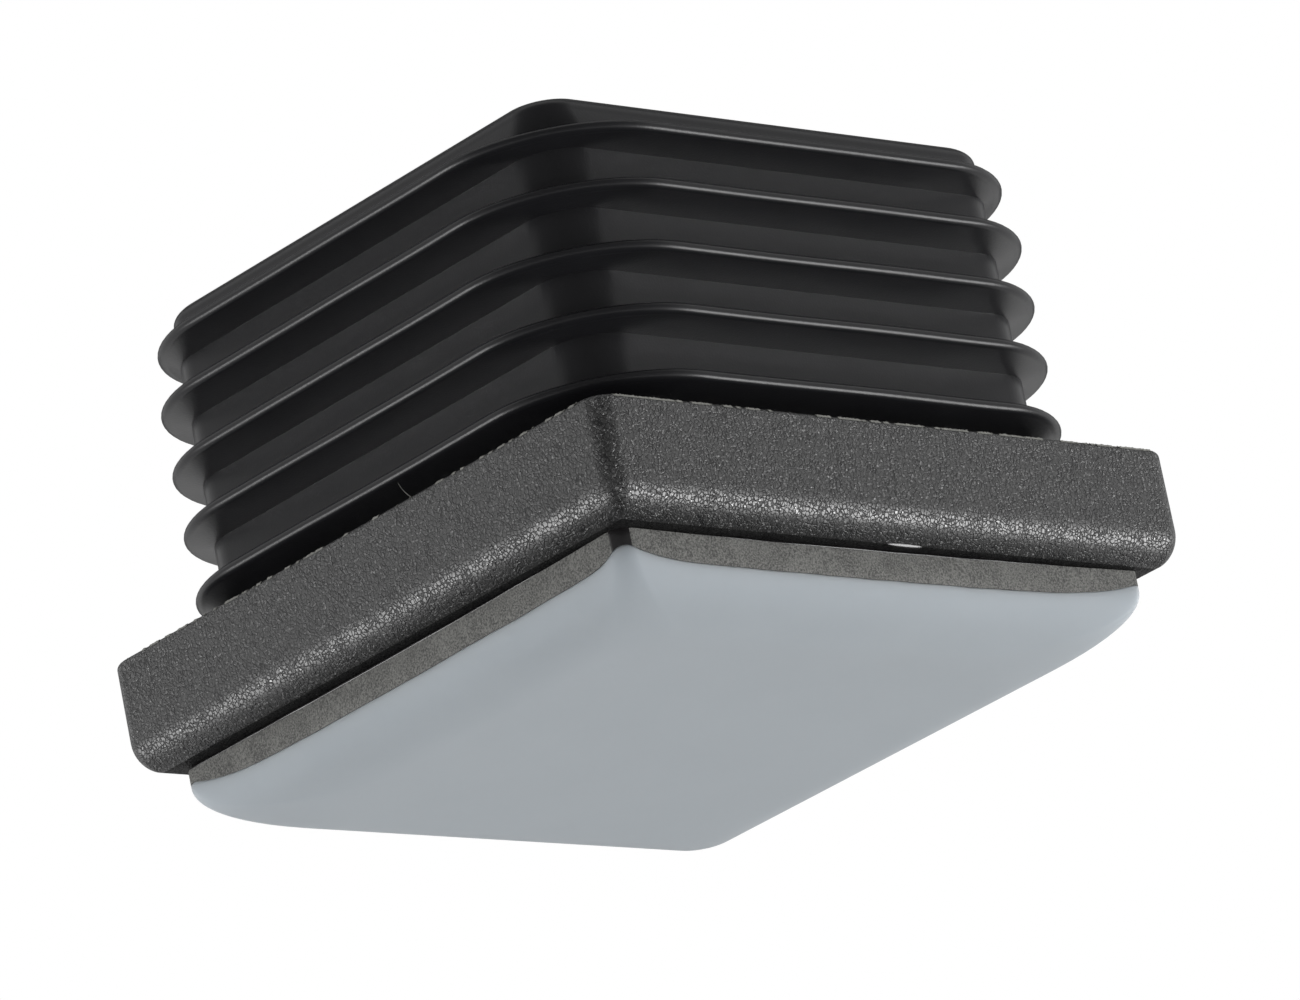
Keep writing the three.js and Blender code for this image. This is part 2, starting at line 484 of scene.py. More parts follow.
@dataclass(frozen=True)
class SparkErodedPolyethylene(Finish):
    """Polyethylene moulded against a spark-eroded cavity wall.

    Flat-topped pebbles with cracks between them, and here and there a glossier pimple: a dry grey face with
    sparse bright specks, a glittering band where an edge turns to the light, and painted shade in the
    cracks.
    """

    name: str = "polyethylene_moulded_spark_eroded"
    # Crack colour, then crown colour: the darker cracks are painted shade.
    colours: tuple[str, str] = ("151516", "252525")
    pebble_size: float = 0.23
    pebble_depth: float = 0.02
    pebble_warp: float = 0.14
    crack_share: Pair = (0.09, 0.2)
    patch_size: float = 0.9
    patch_share: Pair = (0.35, 0.65)
    pit_size: float = 0.22
    pimple_share: Pair = (0.54, 0.66)
    pimple_depth: float = 0.035
    cloud_size: float = 1.6
    roughness: Pair = (0.36, 0.4)
    specular: Pair = (0.3, 0.68)
    pimple_specular: float = 1.6

    def pattern(self, add: AddNode, where: Socket) -> Pattern:
        """Adds the grain.

        Args:
            add: Adds a node to the material.
            where: Coordinates in the part's frame, in metres.

        Returns:
            The node that mixes the two colours, and the shader's other inputs.
        """
        pits = add("TexNoise", {"Vector": where, "Scale": per_metre(self.pit_size), "Detail": 2.0})
        warp = (self.pebble_warp * MM,) * 3
        askew = add("VectorMath", {0: pits.outputs["Color"], 1: warp, 2: where}, operation="MULTIPLY_ADD")
        scale = per_metre(self.pebble_size)
        pebbles = add(
            "TexVoronoi", {"Vector": askew, "Scale": scale, "Randomness": 1.0}, feature="DISTANCE_TO_EDGE"
        )
        patches = add("TexNoise", {"Vector": where, "Scale": per_metre(self.patch_size), "Detail": 1.0})
        (low, high), (thin, wide) = self.patch_share, self.crack_share
        cracks = add(
            "MapRange",
            {"Value": patches, "From Min": low, "From Max": high, "To Min": thin, "To Max": wide},
        )
        # Crown height: the pebbles' bump, and the mask that darkens the cracks' colour and sheen as painted
        # shade.
        crowns_and_crack_shade = add("MapRange", {"Value": pebbles, "From Max": cracks}, interpolation_type="SMOOTHSTEP")
        scale = per_metre(self.cloud_size)
        clouds = add("TexNoise", {"Vector": where, "Scale": scale, "Detail": 4.0, "Roughness": 0.6})
        low, high = self.roughness
        dullness = add("MapRange", {"Value": clouds, "To Min": low, "To Max": high})
        low, high = self.pimple_share
        pimples = add(
            "MapRange", {"Value": pits, "From Min": low, "From Max": high}, interpolation_type="SMOOTHSTEP"
        )
        low, high = self.specular
        crown_sheen = add("MapRange", {"Value": pimples, "To Min": high, "To Max": self.pimple_specular})
        # Less sheen in the cracks is painted shade; the pimples are glossier.
        sheen = add("MapRange", {"Value": crowns_and_crack_shade, "To Min": low, "To Max": crown_sheen})
        fine = add("Bump", {"Height": pimples, "Distance": self.pimple_depth * MM})
        grain = add("Bump", {"Height": crowns_and_crack_shade, "Distance": self.pebble_depth * MM, "Normal": fine})
        return crowns_and_crack_shade, {"Roughness": dullness, "Specular IOR Level": sheen, "Normal": grain}


@dataclass(frozen=True)
class ShadedUndersidePolyethylene(SparkErodedPolyethylene):
    """The same spark-eroded polyethylene, on the flange's underside where the pad is stuck on.

    Darker colours and less sheen than the grained sides: painted shade under the flange.
    """

    name: str = "polyethylene_spark_eroded_painted_shade"
    colours: tuple[str, str] = ("101011", "1c1c1c")
    roughness: Pair = (0.5, 0.6)
    specular: Pair = (0.04, 0.14)
    pimple_specular: float = 0.14


@dataclass(frozen=True)
class MottledFinish(Finish):
    """An even finish with soft patches of its second colour."""

    patch_size: float = 1.0
    detail: float = 2.0
    roughness: float = 0.5

    def pattern(self, add: AddNode, where: Socket) -> Pattern:
        """Adds the patches.

        Args:
            add: Adds a node to the material.
            where: Coordinates in the part's frame, in metres.

        Returns:
            The node that mixes the two colours, and the shader's other inputs.
        """
        scale = per_metre(self.patch_size)
        patches = add("TexNoise", {"Vector": where, "Scale": scale, "Detail": self.detail})
        return patches, {"Roughness": self.roughness}


@dataclass(frozen=True)
class TornPolyethylene(MottledFinish):
    """Polyethylene flash torn at the mould's parting line.

    Thin, and painted pale as a highlight where it catches the light: light specks on the black edge.
    """

    name: str = "polyethylene_torn_flash"
    # Pale colour: painted highlight on the flash.
    colours: tuple[str, str] = ("464644", "8c8c86")
    patch_size: float = 0.3


@dataclass(frozen=True)
class AcrylicAdhesive(MottledFinish):
    """Black acrylic adhesive film, pressed out at the joint.

    A dark, wet-looking edge that mirrors the lamps where it bulges; on the rubber's near corner, painted
    shade.
    """

    name: str = "acrylic_adhesive_pressed"
    colours: tuple[str, str] = ("131213", "1e1c1d")
    ior: float = 1.48
    patch_size: float = 0.8
    detail: float = 3.0
    roughness: float = 0.27


@dataclass(frozen=True)
class CutRubber(Finish):
    """Filled rubber sheet with a cut edge.

    A dry, dusty grey-brown with fine mineral flecks and next to no highlight.
    """

    name: str = "filled_rubber_cut_sheet"
    colours: tuple[str, str] = ("434342", "7b7b78")
    ior: float = 1.5
    fleck_size: float = 0.1
    fleck_contrast: Pair = (0.4, 0.6)
    grain_depth: float = 0.05
    cloud_size: float = 1.4
    cloud_share: float = 0.18
    roughness: float = 0.82
    specular: float = 0.35

    def pattern(self, add: AddNode, where: Socket) -> Pattern:
        """Adds the rubber's flecks and clouds.

        Args:
            add: Adds a node to the material.
            where: Coordinates in the part's frame, in metres.

        Returns:
            The node that mixes the two colours, and the shader's other inputs.
        """
        scale = per_metre(self.fleck_size)
        flecks = add("TexNoise", {"Vector": where, "Scale": scale, "Detail": 3.0, "Roughness": 0.7})
        clouds = add("TexNoise", {"Vector": where, "Scale": per_metre(self.cloud_size), "Detail": 3.0})
        share = add("Mix", {"Factor": self.cloud_share, 2: flecks, 3: clouds})
        low, high = self.fleck_contrast
        spread = add("MapRange", {"Value": share, "From Min": low, "From Max": high})
        bump = add("Bump", {"Height": flecks, "Distance": self.grain_depth * MM})
        return spread, {"Roughness": self.roughness, "Specular IOR Level": self.specular, "Normal": bump}


@dataclass(frozen=True)
class FormedPtfe(Finish):
    """Pigmented PTFE sheet, skived and hot-formed over the rubber.

    Waxy and even: light spreads inside it, so it is a milky pale blue-grey with faint clouds, hardly any
    texture and next to no highlight.
    """

    name: str = "ptfe_skived_hot_formed"
    colours: tuple[str, str] = ("9da3a8", "a2a8ad")
    ior: float = 1.35
    cloud_size: float = 7.0
    wave_size: float = 5.0
    wave_depth: float = 0.01
    skive_size: float = 0.35
    skive_depth: float = 0.0012
    roughness: float = 0.6
    scatter_depth: float = 2.0
    specular: float = 0.06

    def pattern(self, add: AddNode, where: Socket) -> Pattern:
        """Adds the clouds, waves and skiving marks.

        Args:
            add: Adds a node to the material.
            where: Coordinates in the part's frame, in metres.

        Returns:
            The node that mixes the two colours, and the shader's other inputs.
        """
        scale = per_metre(self.cloud_size)
        clouds = add("TexNoise", {"Vector": where, "Scale": scale, "Detail": 5.0, "Roughness": 0.6})
        waves = add("TexNoise", {"Vector": where, "Scale": per_metre(self.wave_size), "Detail": 1.0})
        skive = add("TexNoise", {"Vector": where, "Scale": per_metre(self.skive_size), "Detail": 2.0})
        broad = add("Bump", {"Height": waves, "Distance": self.wave_depth * MM})
        fine = add("Bump", {"Height": skive, "Distance": self.skive_depth * MM, "Normal": broad})
        return clouds, {
            "Roughness": self.roughness,
            "Specular IOR Level": self.specular,
            "Subsurface Weight": 1.0,
            "Subsurface Radius": (1.0, 1.0, 1.0),
            "Subsurface Scale": self.scatter_depth * MM,
            "Normal": fine,
        }


# Pieces


@dataclass
class RibbedPlug:
    """The black moulding: flange, hollow core, five thin ribs and a rounded lead-in collar."""

    side: float
    underside: float
    top: float
    flange_height: float = 6.4
    flange_corner: float = 1.2
    flange_lower_edge: float = 2.0
    flange_upper_edge: float = 0.35
    flange_mitre: float = 0.06
    flange_relief: float = 0.12
    core_side: float = 32.2
    core_corner: float = 2.8
    collar_side: float = 31.8
    collar_corner: float = 2.2
    core_wall: float = 2.0
    core_lip: float = 0.85
    cavity_corner: float = 1.5
    cavity_draft: float = 0.4
    cavity_fillet: float = 1.0
    cavity_mouth_edge: float = 0.4
    cavity_floor: float = 2.5
    rib_count: int = 5
    rib_pitch: float = 3.42
    rib_side: float = 37.3
    rib_corner: float = 7.9
    rib_tip: float = 0.64
    rib_root: float = 1.22
    lowest_rib: float = 2.2
    second_rib_extra: float = 0.18
    lead_rib_setback: float = 0.28
    lead_rib_drop: float = 0.12
    warp: float = 0.05
    warp_length: float = 9.0
    flat_hold: float = 0.06
    cap_shares: Pair = (0.5, 0.98)
    corner_steps: int = 18
    side_steps: int = 20
    edge_steps: int = 12

    @classmethod
    def from_frame(cls) -> "RibbedPlug":
        """Takes the moulding's outer sizes from the frame."""
        low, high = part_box("ribbed_plug")
        return cls(side=(high.x - low.x) / MM, underside=low.z / MM, top=high.z / MM)

    @property
    def flange_foot(self) -> float:
        """Height of the flange's flat underside, which cuts the lower edge's rounding short."""
        return self.underside + self.flange_relief

    @property
    def flange_top(self) -> float:
        """Height of the seat for the tube's end."""
        return self.underside + self.flange_height

    def rib_middles(self) -> list[float]:
        """Heights of the ribs' middles.

        Returns:
            The heights, from the lowest up.
        """
        lowest = self.flange_top + self.lowest_rib
        rest = [lowest + self.second_rib_extra + self.rib_pitch * k for k in range(1, self.rib_count)]
        return [lowest, *rest]

    def flange_levels(self) -> list[Level]:
        """Profile of the flange's grained sides, from its underside to its upper edge.

        Returns:
            The levels, whose corners narrow to a mitre under the lower edge's rounding.
        """
        lower, upper = self.flange_lower_edge, self.flange_upper_edge
        angles = arc(math.acos(1 - self.flange_relief / lower) - RIGHT_ANGLE, 0, self.edge_steps)
        levels = []
        for level in rounding(self.side - 2 * lower, 0, self.underside + lower, lower, angles):
            setback = (self.side - level.side) / 2
            levels.append(replace(level, corner=max(self.flange_corner - setback, self.flange_mitre)))
        angles = arc(0, RIGHT_ANGLE, self.edge_steps // 2)
        return levels + rounding(
            self.side - 2 * upper, self.flange_corner, self.flange_top - upper, upper, angles
        )

    def rib_levels(self, middle: float, side: float) -> list[Level]:
        """Profile of one tapered rib with a round nose.

        Args:
            middle: Height of the rib's middle.
            side: Width over the rib's nose.

        Returns:
            Levels from the lower root to the upper one.
        """
        angles = arc(-RIGHT_ANGLE, RIGHT_ANGLE, self.edge_steps)
        nose = rounding(side - self.rib_tip, self.rib_corner, middle, self.rib_tip / 2, angles)
        low, high = (
            Level(self.core_side, self.core_corner, middle + half * self.rib_root) for half in (-0.5, 0.5)
        )
        return [low, *nose, high]

    def collar_levels(self) -> list[Level]:
        """Profile of the collar and the cavity.

        Returns:
            Levels over the rounded lip, the cavity's mouth and wall, and the fillet round its floor.
        """
        lip, mouth, fillet = self.core_lip, self.cavity_mouth_edge, self.cavity_fillet
        cavity = self.core_side - 2 * self.core_wall
        floor = self.underside + self.cavity_floor
        outside = arc(0, RIGHT_ANGLE, self.edge_steps)
        inside = arc(RIGHT_ANGLE, 2 * RIGHT_ANGLE, self.edge_steps // 2)
        bottom = arc(0, -RIGHT_ANGLE, self.edge_steps // 2)
        drafted = cavity - 2 * self.cavity_draft
        return [
            *rounding(self.collar_side - 2 * lip, self.collar_corner, self.top - lip, lip, outside),
            *rounding(cavity + 2 * mouth, self.cavity_corner, self.top - mouth, mouth, inside),
            *rounding(drafted - 2 * fillet, self.cavity_corner, floor + fillet, fillet, bottom),
        ]

    def warped(self, point: Vector) -> Vector:
        """Lets the ribs' free edges wander a little, as thin mouldings do when they cool.

        Args:
            point: A point of the true form.

        Returns:
            The point as moulded.
        """
        out = max(abs(point.x), abs(point.y)) - self.core_side / 2
        reach = (self.rib_side - self.core_side) / 2
        if out <= 0 or point.z < self.flange_top + self.rib_tip:
            return point
        drift = noise.noise(point / self.warp_length) * self.warp * out / reach
        return point + Vector((0, 0, drift))

    def build(self, satin: Finish, grained: Finish, shaded_underside: Finish) -> Object:
        """Builds and dresses the moulding.

        Args:
            satin: Finish of the ribs, core and cavity.
            grained: Finish of the flange's sides.
            shaded_underside: Finish of the flange's underside, darker as painted shade.

        Returns:
            The seated piece.
        """
        stations = stations_of(self.corner_steps, self.side_steps)
        flange = self.flange_levels()
        upper = [flange[-1], Level(self.core_side, self.core_corner, self.flange_top)]
        *lower_ribs, lead_rib = self.rib_middles()
        for middle in lower_ribs:
            upper += self.rib_levels(middle, self.rib_side)
        upper += self.rib_levels(lead_rib - self.lead_rib_drop, self.rib_side - 2 * self.lead_rib_setback)
        upper += self.collar_levels()
        foot = [flange[0].point(station) for station in stations]
        skin = Skin("ribbed_plug_moulding")
        # The flange's underside takes the darker finish: painted shade under the flange.
        skin.add([*(shrunk(foot, share) for share in self.cap_shares), foot], Band.SHADED_UNDERSIDE.value)
        for level in held_flat(flange, self.flat_hold)[1:]:
            skin.add([[level.point(station) for station in stations]], Band.GRAIN.value)
        for level in held_flat(upper, self.flat_hold)[1:]:
            skin.add([[self.warped(level.point(station)) for station in stations]], Band.SATIN.value)
        floor = skin.rings[-1]
        skin.add([shrunk(floor, share) for share in reversed(self.cap_shares)], Band.SATIN.value)
        finishes = {Band.SATIN: satin, Band.GRAIN: grained, Band.SHADED_UNDERSIDE: shaded_underside}
        piece = skin.to_object([finishes[band].material() for band in Band])
        return seat(piece, Slot.POLYETHYLENE, "ribbed_plug")


@dataclass
class PartingFlash:
    """Ragged flash along the flange's upper edge, with one drawn-out whisker.

    It leans out from the edge, and has more gaps on a side whose gap level is higher.
    """

    plug: RibbedPlug
    step: float = 0.05
    crest: float = 0.085
    foot: float = 0.08
    full_foot_share: float = 0.3
    root_depth: float = 0.03
    lean: Pair = (0.2, 0.8)
    lean_out: float = 0.9
    lean_up: float = 1.2
    gap_length: float = 0.45
    gap_levels: tuple[float, float, float, float] = (-0.2, 0.04, 0.04, 0.1)
    gap_slope: float = 5.0
    stretch_length: float = 5.0
    stretch_share: float = 0.4
    rag_length: float = 0.11
    rag_base: float = 0.6
    rag_wave: float = 0.6
    rag_chance: float = 0.3
    whisker_at: float = -5.3
    whisker_rise: Vector = field(default_factory=lambda: Vector((0.02, 0.94, 1.27)))
    whisker_bow: float = 0.12
    whisker_width: float = 0.07
    whisker_taper: float = 0.7
    whisker_steps: int = 8
    seed: int = 5

    def height(self, place: Vector, gap_level: float, rng: random.Random) -> float:
        """Height of the flash at a place on the edge, 0 where the edge is clean.

        Args:
            place: The place, in millimetres.
            gap_level: How much of this side is clean.
            rng: The flash's own random numbers.

        Returns:
            Height above the rounded edge.
        """
        stretch = noise.noise(place / self.stretch_length)
        patch = noise.noise(place / self.gap_length) + self.stretch_share * stretch - gap_level
        rag = self.rag_base + self.rag_wave * noise.noise(place / self.rag_length)
        rag += self.rag_chance * rng.random()
        return max(0.0, min(patch * self.gap_slope, 1.0)) * max(rag, 0.0) * self.crest

    def section(self, height: float, rng: random.Random) -> Ring:
        """Section of the flash, measured from the edge as it would be without its rounding.

        Args:
            height: Height of the flash here.
            rng: The flash's own random numbers.

        Returns:
            Its lower foot, crest and upper foot.
        """
        inset = self.plug.flange_upper_edge * (1 - math.sqrt(0.5))
        reach = self.foot * min(height / (self.full_foot_share * self.crest), 1.0)
        lean = rng.uniform(*self.lean)
        return [
            Vector((0, self.root_depth, -inset - reach)),
            Vector((0, inset - height * lean * self.lean_out, height * (self.lean_up - lean) - inset)),
            Vector((0, inset + reach, -self.root_depth)),
        ]

    def build(self, finish: Finish) -> Object:
        """Builds and dresses the flash.

        Args:
            finish: Finish of the torn edge.

        Returns:
            The seated piece.
        """
        rng = random.Random(self.seed)
        points, faces = [], []
        half = self.plug.side / 2 - self.plug.flange_corner
        for quarter, gap_level in enumerate(self.gap_levels):
            turn = Matrix.Rotation(quarter * RIGHT_ANGLE, 3, "Z")
            run = []
            for place in arc(-half, half, round(2 * half / self.step)):
                edge = Vector((place, -self.plug.side / 2, self.plug.flange_top))
                height = self.height(turn @ edge, gap_level, rng)
                section = [turn @ (edge + offset) for offset in self.section(height, rng)]
                if height > 0:
                    run.append(section)
                else:
                    self.add_run(run, points, faces)
                    run = []
            self.add_run(run, points, faces)
        self.add_whisker(points, faces)
        piece = mesh_object("flange_parting_flash", points, faces, [finish.material()], sharp=35)
        return seat(piece, Slot.POLYETHYLENE)

    def add_run(self, run: list[Ring], points: list[Vector], faces: Faces) -> None:
        """Skins one unbroken run of flash, unless it is a single section."""
        if len(run) > 1:
            sweep(run, points, faces)

    def add_whisker(self, points: list[Vector], faces: Faces) -> None:
        """Adds the drawn-out whisker on the left side's edge.

        Args:
            points: The mesh's points, added to.
            faces: The mesh's faces, added to.
        """
        inset = self.plug.flange_upper_edge / 2
        root = Vector((-self.plug.side / 2 + inset, self.whisker_at, self.plug.flange_top - inset))
        sections = []
        for share in arc(0, 1, self.whisker_steps)[:-1]:
            middle = root + self.whisker_rise * share
            middle.y += self.whisker_bow * math.sin(math.pi * share)
            radius = self.whisker_width * (1 - self.whisker_taper * share) / 2
            sections.append([
                middle + Vector((math.cos(angle), -math.sin(angle), 0)) * radius
                for angle in arc(0, 3 * RIGHT_ANGLE, 3)
            ])
        sweep(sections, points, faces, tip=root + self.whisker_rise)


@dataclass(frozen=True)
class CornerRim:
    """The pad near one corner.

    Its radius spreads as the roll draws in, and may be flattened to a facet. The sole's rim has a level
    along the sides and climbs to the corner. The climbs reach back along the side that ends here and on
    along the side that starts here, with a crown between them. The top is where the rubber ends.
    """

    radius: float
    level: float
    climbs: Pair
    reaches: Pair
    top: float
    spread: float = 0.4
    crown: float = 0.0
    facet: float = 0.0


@dataclass
class GlidePad:
    """Rubber body with a PTFE sole hot-formed over its lower edge, on a film of adhesive."""

    side: float
    film_top: float
    film_setback: float = 0.1
    film_waver: float = 0.06
    film_waver_length: float = 3.0
    drop_at: Vector = field(default_factory=lambda: Vector((0.62, -18.7, 4.06)))
    drop_length: float = 2.5
    drop_radius: float = 0.15
    drop_flatness: float = 0.4
    drop_tilt: float = 24.0
    drop_end: float = 0.05
    drop_steps: int = 12
    # A dark sheet over the rubber's near corner: painted shade.
    painted_shade_sheet_turns: Pair = (0.12, 0.85)
    painted_shade_sheet_thickness: float = 0.03
    skew: float = -0.63
    upper_edge: float = 0.02
    side_sag: float = 0.16
    roll_width: float = 4.4
    roll_height: float = 3.0
    rim_edge: float = 0.08
    rim_wander: float = 0.035
    rim_wander_length: float = 2.2
    sole_thickness: float = 1.0
    rims: dict[Corner, CornerRim] = field(
        default_factory=lambda: {
            Corner.FAR: CornerRim(0.9, 2.5, climbs=(0.8, 0.8), reaches=(6.0, 6.0), top=4.0, crown=0.2),
            Corner.LEFT: CornerRim(0.8, 2.46, climbs=(0.7, 0.7), reaches=(7.0, 7.0), top=3.9, spread=1.4),
            Corner.NEAR: CornerRim(
                1.0, 2.52, climbs=(0.31, 0.45), reaches=(2.0, 5.0), top=4.05, crown=0.3, facet=0.3
            ),
            Corner.RIGHT: CornerRim(
                0.4, 2.58, climbs=(0.7, 0.7), reaches=(8.0, 8.0), top=4.07, spread=1.4
            ),
        }
    )
    foot_shares: tuple[float, ...] = (0.25, 0.5, 0.75, 0.97)
    cap_share: float = 0.5
    corner_steps: int = 12
    side_steps: int = 96
    roll_steps: int = 20
    edge_steps: int = 6

    @classmethod
    def under(cls, plug: RibbedPlug) -> "GlidePad":
        """Takes the pad's width from the frame, and hangs it under the plug's flange."""
        low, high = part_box("rubber_core")
        return cls(side=(high.x - low.x) / MM, film_top=plug.flange_foot)

    def stations(self) -> list[Station]:
        """Stations that the sole, rubber and film share."""
        return stations_of(self.corner_steps, self.side_steps)

    def ends_of(self, station: Station) -> tuple[CornerRim, CornerRim]:
        """The corners before and after a station."""
        return self.rims[Corner(station.quarter)], self.rims[Corner((station.quarter + 1) % 4)]

    def roll_inset(self, z: float) -> float:
        """How far the rolled lower edge draws in at a height above the floor."""
        drop = max(1 - z / self.roll_height, 0)
        return self.roll_width * (1 - math.sqrt(1 - drop * drop))

    def rolled(self, station: Station, z: float, depth: float = 0) -> Vector:
        """A point of the rolled outer face, or of a face some depth inside it.

        Args:
            station: Where on the outline.
            z: Height above the floor.
            depth: Distance inside the outer face.

        Returns:
            The point, in millimetres.
        """
        inset = self.roll_inset(z) + depth
        before, after = self.ends_of(station)
        start, end = (
            Level(self.side - 2 * inset, rim.radius + rim.spread * inset, z) for rim in (before, after)
        )
        quarter = station.quarter
        chord = start.arc_point(quarter, 0).lerp(start.arc_point(quarter, 1), station.turn)
        point = start.arc_point(quarter, station.turn).lerp(chord, before.facet)
        skewed = Matrix.Rotation(math.radians(self.skew), 3, "Z")
        return skewed @ point.lerp(end.arc_point((quarter + 1) % 4, 0), station.along)

    def sag(self, station: Station) -> float:
        """How far the pad's edges dip between two corners."""
        return self.side_sag * hump(station.along)

    def top_height(self, station: Station) -> float:
        """Height of the rubber's upper face under the film."""
        before, after = self.ends_of(station)
        return before.top + (after.top - before.top) * station.along - self.sag(station)

    def rim_height(self, station: Station) -> float:
        """Height of the sole's rim: nearly level along the sides, climbing to the corners.

        Args:
            station: Where on the outline.

        Returns:
            The height above the floor.
        """
        before, after = self.ends_of(station)
        straight = self.side - before.radius - after.radius
        level = before.level + (after.level - before.level) * station.along - self.sag(station)
        back, on = before.climbs
        climb = back + (on - back) * station.turn + before.crown * hump(station.turn)
        climb *= max(1 - station.along * straight / before.reaches[1], 0) ** 3
        if station.along > 0:
            left = (1 - station.along) * straight
            climb += after.climbs[0] * max(1 - left / after.reaches[0], 0) ** 3
        place = self.rolled(station, self.roll_height)
        return level + climb + self.rim_wander * noise.noise(place / self.rim_wander_length)

    def wall(
        self, lows: list[float], highs: list[float], shares: list[float], depth: float = 0
    ) -> list[Ring]:
        """Rings on the wall between two edges, on the rolled face or some depth inside it.

        Args:
            lows: Height of the lower edge at each station.
            highs: Height of the upper edge at each station.
            shares: Each ring's share of the way up.
            depth: Distance inside the outer face.

        Returns:
            The rings in order of the shares.
        """
        places = list(zip(self.stations(), lows, highs))
        return [
            [self.rolled(station, low + (high - low) * share, depth) for station, low, high in places]
            for share in shares
        ]

    def rounded_edge(self, tops: list[float], radius: float) -> list[Ring]:
        """Rings over a wall's rounded upper edge, from the outer face in.

        Args:
            tops: Height of the edge at each station.
            radius: Radius of the rounding.

        Returns:
            The rings above the wall's own last one.
        """
        rings = []
        for angle in arc(0, RIGHT_ANGLE, self.edge_steps)[1:]:
            drop, depth = radius * (1 - math.sin(angle)), radius * (1 - math.cos(angle))
            rings.append([self.rolled(s, top - drop, depth) for s, top in zip(self.stations(), tops)])
        return rings

    def build_sole(self, finish: Finish) -> Object:
        """Builds and dresses the dished PTFE sole.

        Args:
            finish: Finish of the sole.

        Returns:
            The seated piece.
        """
        rims = [self.rim_height(station) for station in self.stations()]
        floors, insides = [0.0] * len(rims), [self.sole_thickness] * len(rims)
        roll = [1 - math.cos(angle) for angle in arc(0, RIGHT_ANGLE, self.roll_steps)]
        outer = self.wall(floors, [rim - self.rim_edge for rim in rims], roll)
        inner = self.wall(insides, rims, arc(1, 0, self.edge_steps), self.sole_thickness)
        skin = Skin("ptfe_sole_formed")
        skin.add([shrunk(outer[0], share) for share in self.foot_shares])
        skin.add([*outer, *self.rounded_edge(rims, self.rim_edge), *inner])
        skin.add([shrunk(inner[-1], self.cap_share)])
        return seat(skin.to_object([finish.material()]), Slot.PTFE, "ptfe_sole")

    def build_rubber(self, finish: Finish) -> Object:
        """Builds and dresses the rubber body, flush with the sole above its rim.

        Args:
            finish: Finish of the rubber.

        Returns:
            The seated piece.
        """
        rims = [self.rim_height(station) for station in self.stations()]
        tops = [self.top_height(station) for station in self.stations()]
        floors, shares = [self.sole_thickness] * len(rims), arc(0, 1, self.edge_steps)
        inner = self.wall(floors, rims, shares, self.sole_thickness)
        outer = self.wall(rims, [top - self.upper_edge for top in tops], shares)
        edge = self.rounded_edge(tops, self.upper_edge)
        skin = Skin("rubber_core_cut")
        skin.add([shrunk(inner[0], self.cap_share), *inner, *outer, *edge])
        skin.add([shrunk(edge[-1], self.cap_share)])
        return seat(skin.to_object([finish.material()]), Slot.RUBBER, "rubber_core")

    def film_edge(self) -> list[Ring]:
        """Rings round the film's wavering edge.

        Returns:
            The rings, from the rubber up to the flange.
        """
        stations = self.stations()
        rings = []
        for angle in arc(-RIGHT_ANGLE, RIGHT_ANGLE, self.edge_steps):
            ring = []
            for station in stations:
                low = self.top_height(station)
                bulge = (self.film_top - low) / 2
                waver = self.film_waver * noise.noise(self.rolled(station, low) / self.film_waver_length)
                depth = self.film_setback + waver + bulge * (1 - math.cos(angle))
                ring.append(self.rolled(station, low + bulge * (1 + math.sin(angle)), depth))
            rings.append(ring)
        return rings

    def drop_sections(self) -> list[Ring]:
        """Sections of the glossy lens of adhesive that hangs at the underside's seam.

        Returns:
            Flattened ovals along the seam, tilted to the floor and narrow at both ends.
        """
        tilt = math.radians(self.drop_tilt)
        out = Vector((0, -math.cos(tilt), -math.sin(tilt))) * self.drop_flatness
        down = Vector((0, math.sin(tilt), -math.cos(tilt)))
        turns = arc(0, 4 * RIGHT_ANGLE, self.drop_steps)[:-1]
        sections = []
        for angle in arc(-RIGHT_ANGLE, RIGHT_ANGLE, self.drop_steps):
            middle = self.drop_at + Vector((self.drop_length / 2 * math.sin(angle), 0, 0))
            radius = self.drop_radius * max(math.cos(angle), self.drop_end)
            sections.append([middle + radius * (out * math.cos(a) + down * math.sin(a)) for a in turns])
        return sections

    def painted_shade_sheet_sections(self) -> list[Ring]:
        """Sections of a dark sheet of adhesive over the rubber's near corner: painted shade on that corner.

        Returns:
            Upright sections round the corner, from the sole's rim to the flange.
        """
        sections = []
        for turn in arc(*self.painted_shade_sheet_turns, self.drop_steps):
            station = Station(Corner.NEAR.value, turn, 0)
            heights = arc(self.rim_height(station), self.film_top, self.edge_steps)
            outer = [self.rolled(station, z, -self.painted_shade_sheet_thickness) for z in heights]
            inner = [self.rolled(station, z, self.film_setback) for z in reversed(heights)]
            sections.append(outer + inner)
        return sections

    def build_film(self, finish: Finish) -> Object:
        """Builds and dresses the adhesive film, the drop pressed out of the joint, and painted shade on the
        near corner.

        Args:
            finish: Finish of the adhesive.

        Returns:
            The seated piece.
        """
        edge = self.film_edge()
        skin = Skin("adhesive_film_pressed")
        skin.add([shrunk(edge[0], self.cap_share), *edge, shrunk(edge[-1], self.cap_share)])
        points = skin.points()
        faces, _ = skin.faces()
        sweep(self.drop_sections(), points, faces)
        # Painted shade: a dark sheet over the rubber's near corner.
        sweep(self.painted_shade_sheet_sections(), points, faces)
        piece = mesh_object(skin.name, points, faces, [finish.material()], sharp=60)
        return seat(piece, Slot.ADHESIVE, "adhesive_film")


# Studio


@dataclass(frozen=True)
class Panel:
    """A rectangle hung round the part and turned to it."""

    name: str
    azimuth: float
    elevation: float
    distance: float
    width: float
    height: float


@dataclass(frozen=True)
class Lamp(Panel):
    """A soft lamp. One that isn't mirrored lights the part without showing in its reflections."""

    power: float
    mirrored: bool = True


@dataclass(frozen=True)
class Card(Panel):
    """A sheet of grey paper that shows only in the part's reflections."""

    colour: str


